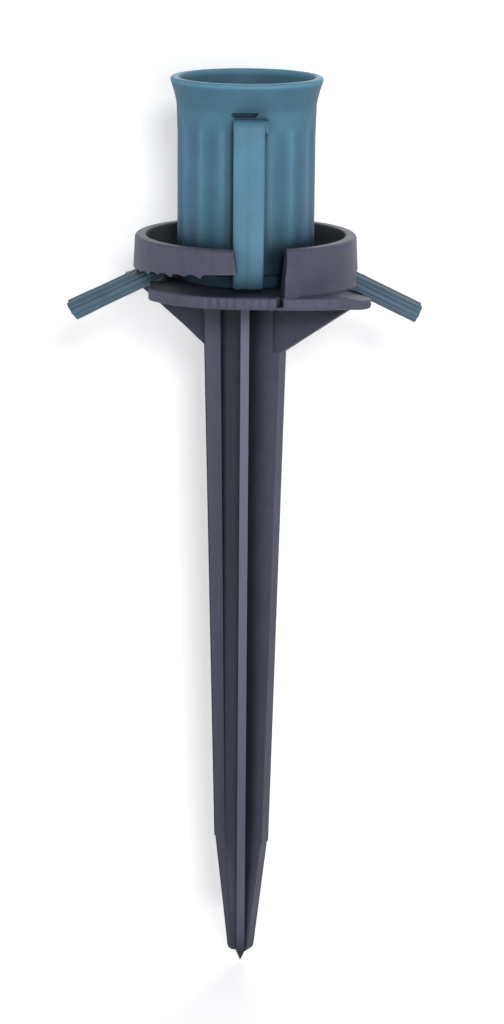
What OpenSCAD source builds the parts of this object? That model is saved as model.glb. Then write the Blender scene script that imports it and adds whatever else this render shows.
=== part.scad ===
// Garden light stake with a twist lock ring, holding a light string socket and a cut length of its wire.
// Millimetres. The origin is on the stake's axis at the underside of its base plate, which rests on the soil.
// +Z is up, the front is -Y. Angles called "from the front" start at -Y and grow towards +X.

/* [Base plate] */
// Radius of the round base plate
plate_r = 17.2; // [16.9:0.1:17.8]
// Thickness of the base plate
plate_t = 1.75; // [1.4:0.05:2.4]
// Distance from the axis to the plate's straight cut side
plate_side = 14.1; // [13.6:0.1:14.8]
// How far a push tab reaches sideways from the axis
tab_reach = 18.3; // [17.2:0.1:20]
// How far a push tab stands forward of the axis at its outer corner
tab_corner = 11.6; // [10.5:0.1:12.5]
// Distance from the axis to the floor of a wire notch
notch_floor = 11.7; // [11:0.1:12]
// Gap between the wire and each side of its notch
notch_gap = 0.45; // [0.2:0.05:0.8]
// Depth of the small grip flutes in the plate's rim
rim_flute_depth = 0.16; // [0.05:0.01:0.3]
// Number of grip flutes in each half of the rim
rim_flutes = 12; // [4:1:16]
// Width of the slit beside each wall's foot
slit_w = 0.9; // [0.5:0.1:1.4]

/* [Lock ring] */
// Inner radius of the lock ring
ring_in = 14.7; // [14.6:0.05:15]
// Outer radius of the ring at its top edge
ring_out = 16.4; // [16.2:0.05:16.7]
// How much further out the ring is at its foot, as moulding draft
ring_draft = 0.3; // [0:0.05:0.4]
// Height of the ring above the plate
ring_h = 6.7; // [6:0.1:9]
// Where each ring arm ends at its gap, in degrees before the front
arm_tip_angle = 6; // [3:0.5:9]
// Where each full wall starts at the gap, in degrees from the front
wall_start = 22; // [18:0.5:26]
// Where each full wall ends and the wire slot starts, in degrees from the front
wall_end = 79; // [74:0.5:79.5]
// Slot height under an arm at its free end
slot_high = 3.25; // [2.9:0.05:3.6]
// Slot height under an arm at its root
slot_low = 1.65; // [1.6:0.05:2.4]
// Number of wire gripping teeth under each arm
teeth = 7; // [3:1:9]
// How far each tooth hangs below the arm
tooth_h = 0.65; // [0.3:0.05:0.9]
// Width of a tooth along the arm
tooth_w = 1.5; // [0.8:0.1:1.9]

/* [Ground spike] */
// Length of the spike's blade, from the plate to its shoulder
blade_l = 85.9; // [50:0.1:160]
// Length of the point, from the shoulder to the blunt end
point_l = 18.1; // [12:0.1:30]
// Length of the small cone at the very tip
tip_l = 1.85; // [1:0.05:3]
// Reach of a side rib from the axis under the plate
rib_top = 6.75; // [6:0.05:8]
// Reach of a side rib from the axis at the shoulder
rib_low = 4.25; // [3.6:0.05:5.5]
// Reach of a side rib from the axis at the blunt end
rib_end = 1.65; // [1.3:0.05:2.2]
// Thickness of a side rib
rib_t = 2; // [1.4:0.1:2.4]
// Turn of the side ribs and gussets towards the front right, in degrees
rib_turn = 30; // [24:1:36]
// Step in at the shoulder
shoulder_step = 0.22; // [0:0.02:0.5]
// Thickness of the front and back rib
keel_t = 1.25; // [0.9:0.05:1.6]
// Reach of the front and back rib under the plate
keel_top = 4.6; // [3.5:0.1:6]
// Reach of the front and back rib at the shoulder
keel_low = 3.4; // [2.6:0.1:4.5]
// Width of the edge flange under the plate
flange_top = 2.4; // [1.6:0.1:3]
// Width of the edge flange at the shoulder
flange_low = 1.45; // [1:0.05:2]
// How far a gusset reaches out from the axis
gusset_reach = 19.5; // [16:0.1:20.5]
// How far a gusset's foot lies below the plate
gusset_drop = 8.75; // [6:0.05:14]
// Thickness of a gusset
gusset_t = 1.4; // [1:0.1:1.8]

/* [Lamp socket] */
// Gap between the bottom cap and the base plate
seat_gap = 0.1; // [0.05:0.05:0.3]
// Radius of the bottom cap
cap_r = 9.7; // [9:0.1:9.9]
// Height of the bottom cap
cap_h = 1.8; // [1.6:0.05:2.2]
// Thickness of the cap's floor under the wire
cap_floor = 0.95; // [0.7:0.05:1.2]
// Height of the socket body above its cap
body_h = 28; // [24:0.1:36]
// Outer radius of the body at its foot
body_r_low = 10.1; // [10.05:0.05:10.5]
// Outer radius of the body under its flare
body_r_high = 10.25; // [10.1:0.05:10.6]
// Outer radius of the rounded rim
rim_r = 11.2; // [11:0.05:12]
// Radius of the rim's rounded lip
lip_r = 0.65; // [0.5:0.05:0.8]
// Height of the flare under the rim
flare_h = 2.3; // [1.5:0.1:4]
// Radius of the wide mouth that takes the bulb's neck
mouth_r = 9.3; // [9.1:0.05:9.4]
// Depth of the wide mouth
mouth_depth = 6.5; // [4:0.1:9]
// Radius of the bore that takes the lamp base
lamp_r = 8.75; // [8.6:0.05:8.85]
// Radius of the contact well under the lamp bore
well_r = 8.25; // [8.2:0.05:8.5]
// Depth of the contact well
well_depth = 3; // [2.6:0.1:3.6]
// Thickness of the floor between the wire and the contact well
floor_t = 1.7; // [1.2:0.1:2.4]
// Number of shallow flutes round the body
flutes = 18; // [9:1:24]
// Depth of a flute
flute_depth = 0.25; // [0.1:0.05:0.4]
// Radius of the cutter that makes a flute
flute_cut_r = 1.2; // [0.8:0.05:1.6]
// Height of the smooth collar above the flutes
collar_h = 5.1; // [3.5:0.1:8]
// Radius of the two cap pins
pin_r = 0.8; // [0.6:0.05:0.9]
// Height of the two cap pins
pin_h = 1.5; // [1:0.1:2.5]
// Radial gap round a cap pin
pin_gap = 0.05; // [0.02:0.01:0.1]

/* [Strap clip] */
// Width of the strap clip
strap_w = 4.5; // [3:0.1:5]
// Thickness of the strap clip
strap_t = 1.3; // [1:0.05:1.4]
// Distance from the socket's axis to the strap's outer face
strap_face = 12.8; // [12.6:0.05:12.9]
// Height of the solid root that carries the strap
strap_root_h = 1.9; // [1.4:0.1:3]
// Height of the strap's lower end above the plate
strap_foot = 0.5; // [0.4:0.1:3]
// Gap that stands for the thin bend line at the strap's root
bend_gap = 0.15; // [0.1:0.05:0.3]
// Turn of the strap from the front towards the right, in degrees
strap_turn = 2; // [0:0.5:4]

/* [Wire] */
// Thickness of the flat twin wire
wire_t = 2.7; // [2.4:0.05:2.8]
// Spacing of the two conductors
core_pitch = 2.6; // [2.4:0.05:2.7]
// Radius of each copper conductor
core_r = 0.48; // [0.3:0.02:0.6]
// Gap between a conductor and its sheath
core_gap = 0.02; // [0.01:0.01:0.05]
// Distance from the axis to where the wire bends down
bend_at = 10.4; // [10.3:0.05:10.7]
// Length of each cut wire end beyond its bend
wire_end_l = 16.9; // [12:0.1:24]
// Droop of each wire end below level, in degrees
droop = 25.8; // [23:0.1:30]
// Depth of the two ribs' grooves along the marked conductor
groove_r = 0.16; // [0.08:0.01:0.2]
// Height of each groove above or below the conductor's middle
groove_z = 0.45; // [0.35:0.01:0.55]
// How far the bare strands stand out of the cut sheath
strand_out = 0.15; // [0:0.05:0.5]
// Gap between the wire and the socket's channel
channel_gap = 0.1; // [0.05:0.05:0.3]

/* [Contacts] */
// Thickness of the brass contact strip
brass_t = 0.4; // [0.3:0.05:0.5]
// Width of the side contact
side_w = 4; // [3:0.1:5]
// Height of the side contact above the bore's floor
side_h = 16; // [10:0.1:17]
// How far the side contact stands into the lamp bore
side_in = 0.15; // [0.05:0.05:0.4]
// Sideways place of the side contact's spike
side_spike_x = 3.6; // [3.3:0.1:4.2]
// Sideways place of the centre contact's spike
centre_spike_x = 3.6; // [3.3:0.1:4.2]
// Width of a piercing spike
spike_w = 1; // [0.6:0.1:1.2]
// Width of the sprung centre contact
leaf_w = 3.2; // [2.4:0.1:3.6]
// Distance from the axis to the leaf's root
leaf_root = 5.4; // [5:0.1:6]
// How far the leaf reaches past the axis
leaf_past = 1.8; // [1.2:0.1:2.2]
// Upward slope of the leaf at rest, in degrees
leaf_rise = 11; // [10:0.5:13]
// Radius of the leaf's round contact button
button_r = 1.3; // [0.8:0.1:1.6]

/* [Hidden] */
$fn = 64;

// Moulded colours
stake_colour = "#3c3c49";
socket_colour = "#4b7690";
wire_colour = "#41677e";
brass_colour = "#c2a050";
copper_colour = "#b46f45";

// Levels from the plate upwards
ring_top = plate_t + ring_h;
cap_z = plate_t + seat_gap;
seam_z = cap_z + cap_h;
wire_z = cap_z + cap_floor + wire_t / 2;
floor_z = wire_z + wire_t / 2 + floor_t;
well_z = floor_z + well_depth;
rim_z = seam_z + body_h;
lip_z = rim_z - lip_r;
flare_z = lip_z - flare_h;
mouth_z = rim_z - mouth_depth;
collar_z = rim_z - collar_h;
strap_top = collar_z + 0.15;
strap_hinge_z = strap_top - strap_root_h;

// Levels from the plate downwards
shoulder_z = -blade_l;
end_z = shoulder_z - point_l;

// Shared sizes
over = 0.5;
big = 60;
ring_mid = (ring_in + ring_out) / 2;
ring_edge = 0.5;
inner_edge = 0.3;
wire_w = core_pitch + wire_t;
channel_w = wire_w + 2 * channel_gap;
channel_top = wire_z + wire_t / 2 + channel_gap;
notch_w = wire_w + 2 * notch_gap;
arm_span = 180 - arm_tip_angle - wall_end;
arm_mid = wall_end + arm_span / 2;
slot_mid = (slot_high + slot_low) / 2;
arm_rise = (slot_high - slot_low) / 2;
arm_slope = arm_rise / (ring_mid * sin(arm_span / 2));
tooth_margin = 24;
tooth_first = wall_end + tooth_margin;
tooth_last = 180 - tooth_margin;
pin_at = cap_r - 2.5;
rim_flute_r = 0.6;
rim_flute_first = -14;
rim_flute_step = 4;
slit_angle = 18;
slit_in = 1;
slit_floor = 0.45;
foot_span = 6;
foot_out = 1.7;
foot_h = 2.7;
notch_reach = plate_side + 1;
tab_root = notch_w / 2 + 1.3;
tab_side = 3;
tab_slope = 4.5;
tab_bulge = 0.2;
flange_front = 0.25;
flange_back = 2.5;
corner = 0.45;
tip_r = 0.85;
crease_r = 0.9;
crease_depth = 0.12;
recess_back = 0.35;
leaf_z = floor_z + brass_t + 0.1;
spike_point = 0.8;

// Turns children so that their +X points to an angle counted from the front
module from_front(angle) {
  rotate([0, 0, angle - 90]) children();
}

// The second half of every stake feature is the first half turned half way round
module half_turn() {
  rotate([0, 0, 180]) children();
}

// Cross-section of the lock ring between two levels, with a rounded top edge
module ring_profile(low) {
  polygon([
    [ring_in, low], [ring_out + ring_draft, low], [ring_out, ring_top - ring_edge],
    [ring_out - ring_edge, ring_top], [ring_in + inner_edge, ring_top], [ring_in, ring_top - inner_edge]
  ]);
  translate([ring_out - ring_edge, ring_top - ring_edge]) circle(r = ring_edge);
}

// One stretch of the lock ring between two angles from the front
module ring_stretch(start, span) {
  from_front(start) rotate_extrude(angle = span) ring_profile(plate_t);
}

// Small buttress that flares out at the start of a full wall
module wall_foot() {
  from_front(wall_start) rotate_extrude(angle = foot_span) polygon([
    [ring_out - over, plate_t], [ring_out + foot_out, plate_t],
    [ring_out + ring_draft, plate_t + foot_h], [ring_out - over, plate_t + foot_h]
  ]);
}

module ring_wall() {
  color(stake_colour) {
    ring_stretch(wall_start, wall_end - wall_start);
    wall_foot();
  }
}

// Height of an arm's sloping underside at an angle from the front
function arm_under(angle) = plate_t + slot_mid + arm_slope * ring_mid * sin(angle - arm_mid);

// Everything below an arm's sloping underside
module under_arm() {
  from_front(arm_mid) translate([ring_mid, 0, plate_t + slot_mid]) rotate([atan(arm_slope), 0, 0])
    translate([-big / 2, -big / 2, -big]) cube([big, big, big]);
}

// One wire gripping tooth, cut to the ring's own curve
module arm_tooth(angle) {
  from_front(angle) translate([ring_in - over, 0, arm_under(angle)]) rotate([90, 0, 90])
    linear_extrude(ring_out + ring_draft - ring_in + 2 * over)
      polygon([
        [-tooth_w / 2, over], [-tooth_w / 2, 0], [tooth_w / 6, -tooth_h],
        [tooth_w / 2, 0], [tooth_w / 2, over]
      ]);
}

module ring_arm() {
  color(stake_colour) {
    difference() {
      ring_stretch(wall_end, arm_span);
      under_arm();
    }
    intersection() {
      ring_stretch(wall_end, arm_span);
      for (i = [0 : teeth - 1]) arm_tooth(tooth_first + i * (tooth_last - tooth_first) / (teeth - 1));
    }
  }
}

// Front right quarter of the plate that a gusset carries, as a push tab
module push_tab() {
  polygon([
    [0, 0], [0, -plate_r], [tab_reach * 0.5, -plate_r - tab_bulge],
    [tab_reach * 0.8, -tab_corner - tab_slope], [tab_reach, -tab_corner],
    [tab_reach, -tab_corner + tab_side], [plate_side, -tab_root]
  ]);
}

module plate_outline() {
  difference() {
    union() {
      intersection() {
        circle(r = plate_r, $fn = 128);
        square([2 * plate_side, 2 * plate_r], center = true);
      }
      push_tab();
      half_turn() push_tab();
    }
    for (turn = [0, 180]) rotate([0, 0, turn])
      translate([notch_floor, -notch_w / 2]) square([notch_reach - notch_floor + tab_reach, notch_w]);
  }
}

// Shallow grip flutes in the front of the rim, and the slit beside the wall's foot
module rim_cuts() {
  for (i = [0 : rim_flutes / 2 - 1])
    from_front(rim_flute_first + i * rim_flute_step)
      translate([plate_r + rim_flute_r - rim_flute_depth, 0, -over])
        cylinder(r = rim_flute_r, h = plate_t + 2 * over, $fn = 24);
  from_front(slit_angle) translate([plate_r - slit_in, -slit_w / 2, slit_floor])
    cube([big / 6, slit_w, plate_t]);
}

module base_plate() {
  color(stake_colour) difference() {
    linear_extrude(plate_t) plate_outline();
    rim_cuts();
    half_turn() rim_cuts();
  }
}

// Half of a tapering rib's face, as reach from the axis against height
module rib_face(top, low, last) {
  polygon([
    [-0.01, 0], [top, 0], [low, shoulder_z], [low - shoulder_step, shoulder_z],
    [last, end_z + corner], [last - corner, end_z], [-0.01, end_z]
  ]);
}

// A rib that stands up along Z with its middle on the XZ plane
module rib(top, low, last, thick) {
  translate([0, thick / 2, 0]) rotate([90, 0, 0]) linear_extrude(thick) rib_face(top, low, last);
}

// The flat flange that thickens the left edge of the blade at the front
module edge_flange() {
  turn_x = cos(rib_turn);
  top = rib_top * turn_x;
  low = rib_low * turn_x;
  last = rib_end * turn_x;
  translate([0, flange_back, 0]) rotate([90, 0, 0]) linear_extrude(flange_back - flange_front)
    polygon([
      [-top - 0.3, 0], [-low - 0.2, shoulder_z], [-low - 0.2 + shoulder_step, shoulder_z],
      [-last - 0.1, end_z + 2 * corner], [-last + corner, end_z + corner],
      [-low + flange_low, shoulder_z], [-top + flange_top - 0.3, 0]
    ]);
}

module spike_half() {
  rotate([0, 0, -rib_turn]) rib(rib_top, rib_low, rib_end, rib_t);
  rotate([0, 0, -90]) rib(keel_top, keel_low, rib_end, keel_t);
  edge_flange();
}

module spike_blade() {
  color(stake_colour) {
    spike_half();
    half_turn() spike_half();
    rotate_extrude() polygon([
      [0, end_z - tip_l], [0.1, end_z - tip_l], [tip_r, end_z], [tip_r, end_z + over], [0, end_z + over]
    ]);
  }
}

module gusset() {
  foot = rib_top + (rib_low - rib_top) * gusset_drop / blade_l;
  color(stake_colour) rotate([0, 0, -rib_turn]) translate([0, gusset_t / 2, 0]) rotate([90, 0, 0])
    linear_extrude(gusset_t) polygon([[rib_top, 0], [gusset_reach, 0], [foot, -gusset_drop]]);
}

// Cap under the wire, with a saddle for it and two pins that snap into the body
module socket_cap() {
  color(socket_colour) difference() {
    union() {
      translate([0, 0, cap_z]) cylinder(r = cap_r, h = cap_h);
      for (side = [-1, 1]) translate([0, side * pin_at, cap_z]) cylinder(r = pin_r, h = cap_h + pin_h);
    }
    translate([-big / 2, -channel_w / 2, wire_z - wire_t / 2 - channel_gap / 2]) cube([big, channel_w, big]);
  }
}

module body_profile() {
  polygon([
    [0, seam_z], [body_r_low, seam_z], [body_r_high, flare_z - 0.6], [body_r_high + 0.06, flare_z],
    [rim_r - 0.28, lip_z - 0.45], [rim_r - 0.02, lip_z], [rim_r - 2 * lip_r, lip_z], [mouth_r, lip_z - 2.2],
    [mouth_r, mouth_z], [lamp_r, mouth_z - 1], [lamp_r, well_z], [well_r, well_z],
    [well_r, floor_z], [0, floor_z]
  ]);
  translate([rim_r - lip_r, lip_z]) circle(r = lip_r);
}

module body_flutes() {
  for (i = [0 : flutes - 1])
    from_front((i + 0.5) * 360 / flutes + strap_turn - 2)
      translate([body_r_high + flute_cut_r - flute_depth, 0, seam_z - over]) {
        cylinder(r = flute_cut_r, h = collar_z - 1 - seam_z + over, $fn = 24);
        translate([0, 0, collar_z - 1 - seam_z + over])
          cylinder(r1 = flute_cut_r, r2 = 0.5, h = 1.1, $fn = 24);
      }
}

// The body's holes: wire channel, contact recess, spike slots and pin sockets
module body_cuts() {
  translate([-big / 2, -channel_w / 2, seam_z - over]) cube([big, channel_w, channel_top - seam_z + over]);
  translate([-side_w / 2 - 0.1, lamp_r - 1.4, floor_z])
    cube([side_w + 0.2, 1.4 + recess_back, side_h + 0.3]);
  spike_slot(-side_spike_x, core_pitch / 2);
  spike_slot(centre_spike_x, -core_pitch / 2);
  for (side = [-1, 1]) translate([0, side * pin_at, seam_z - over])
    cylinder(r = pin_r + pin_gap, h = pin_h + over + 0.2);
}

// Room for one spike through the floor, its sheath and half of its conductor
module spike_slot(x, y) {
  translate([x - spike_w / 2 - 0.05, y - brass_t / 2 - 0.05, wire_z])
    cube([spike_w + 0.1, brass_t + 0.1, floor_z - wire_z + over]);
}

// The strap's solid root under the collar, with its small web on the right
module strap_root() {
  rotate([0, 0, strap_turn]) translate([-strap_w / 2, -strap_face, strap_hinge_z])
    cube([strap_w + 0.6, strap_face - body_r_high + 0.6, strap_root_h]);
}

module socket_body() {
  color(socket_colour) {
    difference() {
      union() {
        rotate_extrude($fn = 128) body_profile();
        strap_root();
      }
      body_flutes();
      body_cuts();
    }
  }
}

// Springy strap beside the body that holds the socket on an edge or a branch
module strap_clip() {
  low = plate_t + strap_foot;
  color(socket_colour) rotate([0, 0, strap_turn]) difference() {
    translate([-strap_w / 2, -strap_face, low])
      cube([strap_w, strap_t, strap_hinge_z - bend_gap - low]);
    translate([-0.15, -strap_face - crease_r + crease_depth, low - over])
      cylinder(r = crease_r, h = big, $fn = 24);
  }
}

// Flat spike with a pointed end that pierces the sheath
module spike(x, y) {
  translate([x, y + brass_t / 2, 0]) rotate([90, 0, 0]) linear_extrude(brass_t) polygon([
    [-spike_w / 2, floor_z + brass_t], [-spike_w / 2, wire_z + spike_point], [0, wire_z],
    [spike_w / 2, wire_z + spike_point], [spike_w / 2, floor_z + brass_t]
  ]);
}

module side_contact() {
  outer = lamp_r - side_in + brass_t;
  foot_y = 5.3;
  leg_back = side_spike_x + spike_w / 2;
  color(brass_colour) {
    translate([-side_w / 2, lamp_r - side_in, floor_z]) cube([side_w, brass_t, side_h]);
    translate([-side_w / 2, foot_y, floor_z]) cube([side_w, outer - foot_y, brass_t]);
    translate([-leg_back, foot_y, floor_z]) cube([leg_back, 1.5, brass_t]);
    translate([-leg_back, core_pitch / 2 - brass_t / 2, floor_z])
      cube([spike_w, foot_y - core_pitch / 2 + brass_t / 2 + 1, brass_t]);
    spike(-side_spike_x, core_pitch / 2);
  }
}

module contact_anchor() {
  end_x = leaf_root + 1.6;
  arm_y = -core_pitch / 2 - brass_t / 2;
  color(brass_colour) {
    translate([leaf_root, arm_y, floor_z]) cube([end_x - leaf_root, leaf_w / 2 - arm_y, brass_t]);
    translate([centre_spike_x - spike_w / 2, arm_y, floor_z])
      cube([end_x - centre_spike_x + spike_w / 2, 0.9, brass_t]);
    spike(centre_spike_x, -core_pitch / 2);
  }
}

// Sprung leaf that presses up against the lamp's end
module contact_leaf() {
  leaf_l = leaf_root + leaf_past;
  color(brass_colour) translate([leaf_root + 0.6, 0, leaf_z]) rotate([0, leaf_rise, 0]) {
    translate([-leaf_l - 0.6, -leaf_w / 2, 0]) cube([leaf_l + 0.6, leaf_w, brass_t - 0.05]);
    translate([-leaf_root - 0.7, 0, 0]) cylinder(r1 = button_r, r2 = button_r * 0.7, h = brass_t * 2);
  }
}

// Section of the flat twin sheath, thin way up, with two grooves on its front conductor
module sheath_section() {
  difference() {
    union() {
      for (side = [-1, 1]) translate([0, side * core_pitch / 2]) circle(r = wire_t / 2);
      square([wire_t * 0.72, core_pitch], center = true);
    }
    for (side = [-1, 1]) {
      translate([0, side * core_pitch / 2]) circle(r = core_r + core_gap);
      translate([side * groove_z, -core_pitch / 2 - sqrt(pow(wire_t / 2, 2) - pow(groove_z, 2))])
        circle(r = groove_r, $fn = 16);
    }
  }
}

// Section of both conductors
module core_section() {
  for (side = [-1, 1]) translate([0, side * core_pitch / 2]) circle(r = core_r);
}

// A section laid along +X, with its first axis turned downwards
module along_x(length) {
  rotate([0, 90, 0]) linear_extrude(length) children();
}

// Everything on the axis side of the slanted plane where a wire end meets the middle stretch
module inside_bend(side) {
  translate([side * bend_at, 0, wire_z]) rotate([0, side * droop / 2, 0])
    translate([side > 0 ? -big : 0, -big / 2, -big / 2]) cube([big, big, big]);
}

module outside_bend(side) {
  translate([side * bend_at, 0, wire_z]) rotate([0, side * droop / 2, 0])
    translate([side > 0 ? 0 : -big, -big / 2, -big / 2]) cube([big, big, big]);
}

// Middle stretch of the wire between its two bends
module middle_stretch() {
  difference() {
    translate([-bend_at - 2, 0, wire_z]) along_x(2 * bend_at + 4) children();
    outside_bend(1);
    outside_bend(-1);
    spike_slot(-side_spike_x, core_pitch / 2);
    spike_slot(centre_spike_x, -core_pitch / 2);
  }
}

// One drooping wire end, on the right for side 1 and on the left for side -1
module end_stretch(side, extra) {
  difference() {
    translate([side * bend_at, 0, wire_z]) rotate([0, side * droop, 0])
      translate([side > 0 ? -2 : -wire_end_l - extra, 0, 0]) along_x(wire_end_l + extra + 2) children();
    inside_bend(side);
  }
}

module wire_sheath_middle() {
  color(wire_colour) middle_stretch() sheath_section();
}

module cores_middle() {
  color(copper_colour) middle_stretch() core_section();
}

module wire_sheath_end(side) {
  color(wire_colour) end_stretch(side, 0) sheath_section();
}

module cores_end(side) {
  color(copper_colour) end_stretch(side, strand_out) core_section();
}

spike_blade();
gusset();  // gusset_right
half_turn() gusset();  // gusset_left
base_plate();
ring_wall();  // ring_wall_right
half_turn() ring_wall();  // ring_wall_left
ring_arm();  // ring_arm_right
half_turn() ring_arm();  // ring_arm_left
socket_cap();
socket_body();
strap_clip();
side_contact();
contact_anchor();
contact_leaf();
wire_sheath_middle();
cores_middle();
wire_sheath_end(1);  // wire_sheath_right
cores_end(1);  // cores_right
wire_sheath_end(-1);  // wire_sheath_left
cores_end(-1);  // cores_left
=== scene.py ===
# %% [markdown]
# # A garden light stake, its lamp socket and its flat wire
# The real object is a dark plastic ground stake. A ring on top of it locks the lamp socket of a light
# string, and a springy strap clip is moulded to the socket's front. This lesson dresses a imported CAD model
# with finer surfaces: each piece is worked out with numpy as a grid of points, and stands where the CAD
# solid stands.

# %% Load the frame
import math

import bmesh
import bpy
import numpy as np
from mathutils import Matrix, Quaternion, Vector


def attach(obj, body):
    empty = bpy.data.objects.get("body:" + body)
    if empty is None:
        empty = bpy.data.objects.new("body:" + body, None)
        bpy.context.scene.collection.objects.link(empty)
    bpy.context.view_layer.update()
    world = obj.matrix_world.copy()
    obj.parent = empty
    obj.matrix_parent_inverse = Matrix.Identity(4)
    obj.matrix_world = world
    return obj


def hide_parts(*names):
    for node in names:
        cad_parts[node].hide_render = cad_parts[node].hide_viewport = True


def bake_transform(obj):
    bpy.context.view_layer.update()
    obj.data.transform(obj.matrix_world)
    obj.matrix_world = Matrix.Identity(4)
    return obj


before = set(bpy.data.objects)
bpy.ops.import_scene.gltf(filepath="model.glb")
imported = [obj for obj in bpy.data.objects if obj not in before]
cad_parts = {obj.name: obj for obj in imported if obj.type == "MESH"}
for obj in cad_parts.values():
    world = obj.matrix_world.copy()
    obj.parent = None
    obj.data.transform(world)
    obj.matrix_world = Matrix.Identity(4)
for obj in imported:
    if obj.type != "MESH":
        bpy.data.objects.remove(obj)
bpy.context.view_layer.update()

# %% [markdown]
# ## Sizes shared by several pieces
# These are the CAD model's own sizes in millimetres. The origin is on the stake's axis at the underside of
# the base plate, up is +Z, and the front is -Y. Angles are counted from the front and grow towards +X,
# because the ring, the socket and the plate are all round.

# %% Shared sizes in millimetres
PLATE_T = 1.75
RING_IN, RING_OUT, RING_TOP = 14.7, 16.4, 8.45
WALL_START, WALL_END, ARM_END = 22.0, 79.0, 174.0
SEAM_Z, RIM_Z = 3.65, 31.65
WIRE_Z, CORE_PITCH = 4.15, 2.6
SHOULDER_Z, END_Z, TIP_Z = -85.9, -104.0, -105.85
print("height", RIM_Z - TIP_Z, "mm")

# %% [markdown]
# ## The camera
# The photograph was taken from a little above with a long lens. The camera was worked out from the ellipses
# of the ring and the rim: 483 mm in front of the axis, 85 mm above the plate and pitched 13.83 degrees
# down. The object leans half a degree in the picture, so the camera is rolled by that much.

# %% Camera
FOCAL_PX, PICTURE_PX, SENSOR_MM = 3297, 1024, 36.0
PITCH, ROLL = math.radians(90 - 13.83), math.radians(0.475)
EYE = (0.00126, -0.483, 0.08495)
lens = bpy.data.cameras.new("photo_lens")
lens.sensor_width = SENSOR_MM
lens.lens = FOCAL_PX / PICTURE_PX * SENSOR_MM
camera = bpy.data.objects.new("photo_camera", lens)
bpy.context.scene.collection.objects.link(camera)
camera.rotation_mode = "QUATERNION"
camera.rotation_quaternion = Quaternion((1, 0, 0), PITCH) @ Quaternion((0, 0, 1), ROLL)
camera.location = EYE
bpy.context.scene.camera = camera
print("focal length", round(lens.lens, 1), "mm")

# %% [markdown]
# ## From a grid of numbers to a mesh
# Every surface below is a table of points with rows and columns. Neighbouring points make one four sided
# face. Closing a surface along its columns makes a tube, and a cap of one many sided face closes its end.
# Doubled points are welded afterwards, which also closes poles and collapsed rows.

# %% Grid helpers
def grid_faces(rows, cols, round_cols=False):
    """Faces of a grid: corner (i, j) goes with (i, j+1), (i+1, j+1) and (i+1, j); round_cols joins last to first."""
    i, j = np.meshgrid(np.arange(rows - 1), np.arange(cols if round_cols else cols - 1), indexing="ij")
    k = (j + 1) % cols
    quads = np.stack([i * cols + j, i * cols + k, (i + 1) * cols + k, (i + 1) * cols + j], -1)
    return quads.reshape(-1, 4).tolist()


def tube(grid, caps=True):
    """A closed tube from a rows x cols x 3 table whose columns go round; caps closes both ends."""
    rows, cols = grid.shape[:2]
    faces = grid_faces(rows, cols, round_cols=True)
    if caps:
        faces += [list(range(cols))[::-1], list(range((rows - 1) * cols, rows * cols))]
    return grid.reshape(-1, 3), faces


print("grid helpers ready")

# %% [markdown]
# ## From parts to a finished piece
# A piece may be made of several closed parts. They are joined, scaled from millimetres to metres, welded
# and turned outwards. The object stays at the origin, so its place is in its mesh, as a CAD node's is.
# Sharp edges are marked by angle. Only the blade's are rounded by a narrow bevel; the other pieces have
# their rounding in their points.

# %% Piece helper
PIECES = {}
MM = 0.001
WELD = 0.004


def make_piece(name, parts, bevel=0.0, sharp=38.0):
    """Joins parts of (points in mm, faces) into one object; bevel is the rounding of its edges in mm.

    Points nearer than WELD mm become one, and an edge is sharp where its faces turn by more than sharp degrees.
    """
    points, faces, first = [], [], 0
    for part_points, part_faces in parts:
        points.append(np.asarray(part_points, float))
        faces += [[v + first for v in face] for face in part_faces]
        first += len(part_points)
    mesh = bpy.data.meshes.new(name)
    mesh.from_pydata((np.concatenate(points) * MM).tolist(), [], faces)
    shape = bmesh.new()
    shape.from_mesh(mesh)
    bmesh.ops.remove_doubles(shape, verts=shape.verts, dist=WELD * MM)
    bmesh.ops.dissolve_degenerate(shape, edges=shape.edges, dist=WELD * 0.2 * MM)
    bmesh.ops.recalc_face_normals(shape, faces=shape.faces)
    shape.to_mesh(mesh)
    shape.free()
    mesh.shade_smooth()
    mesh.set_sharp_from_angle(angle=math.radians(sharp))
    piece = bpy.data.objects.new(name, mesh)
    bpy.context.scene.collection.objects.link(piece)
    if bevel:
        rounding = piece.modifiers.new("moulded_edges", "BEVEL")
        rounding.width, rounding.segments = bevel * MM, 2
        rounding.limit_method, rounding.angle_limit = "ANGLE", math.radians(sharp)
    PIECES[name] = piece
    print(name, len(mesh.polygons), "faces")


# %% [markdown]
# ## Round things seen from above
# The ring, the socket and the plate's rim are all drawn with an angle, a radius and a height. One small
# function turns these three tables into points. A second one turns a shape half way round the axis, because
# the stake is the same from the front and from the back.

# %% Polar helpers
def polar(angle, radius, height):
    """Points at an angle in degrees from the front, a radius and a height: x = r sin a, y = -r cos a, z = h."""
    a, r, h = np.broadcast_arrays(np.radians(angle), radius, height)
    return np.stack([r * np.sin(a), -r * np.cos(a), h], -1)


def half_turn(part):
    """The same part turned half way round the axis: x and y change sign."""
    points, faces = part
    return np.asarray(points) * [-1, -1, 1], faces


def smooth_step(t):
    """0 below 0, 1 above 1, and 3t^2 - 2t^3 between, which starts and ends level."""
    t = np.clip(t, 0, 1)
    return t * t * (3 - 2 * t)


print("front point of the ring:", polar(0, RING_OUT, RING_TOP))

# %% [markdown]
# ## The blade
# The blade is moulded with two thin side webs, a keel at the front and at the back, and a flange along the
# left edge that faces you. Its section is the same shape at every height and only shrinks, so the blade is
# a loft: one outline of twenty corners is worked out for each height, and the heights are skinned together.

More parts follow.
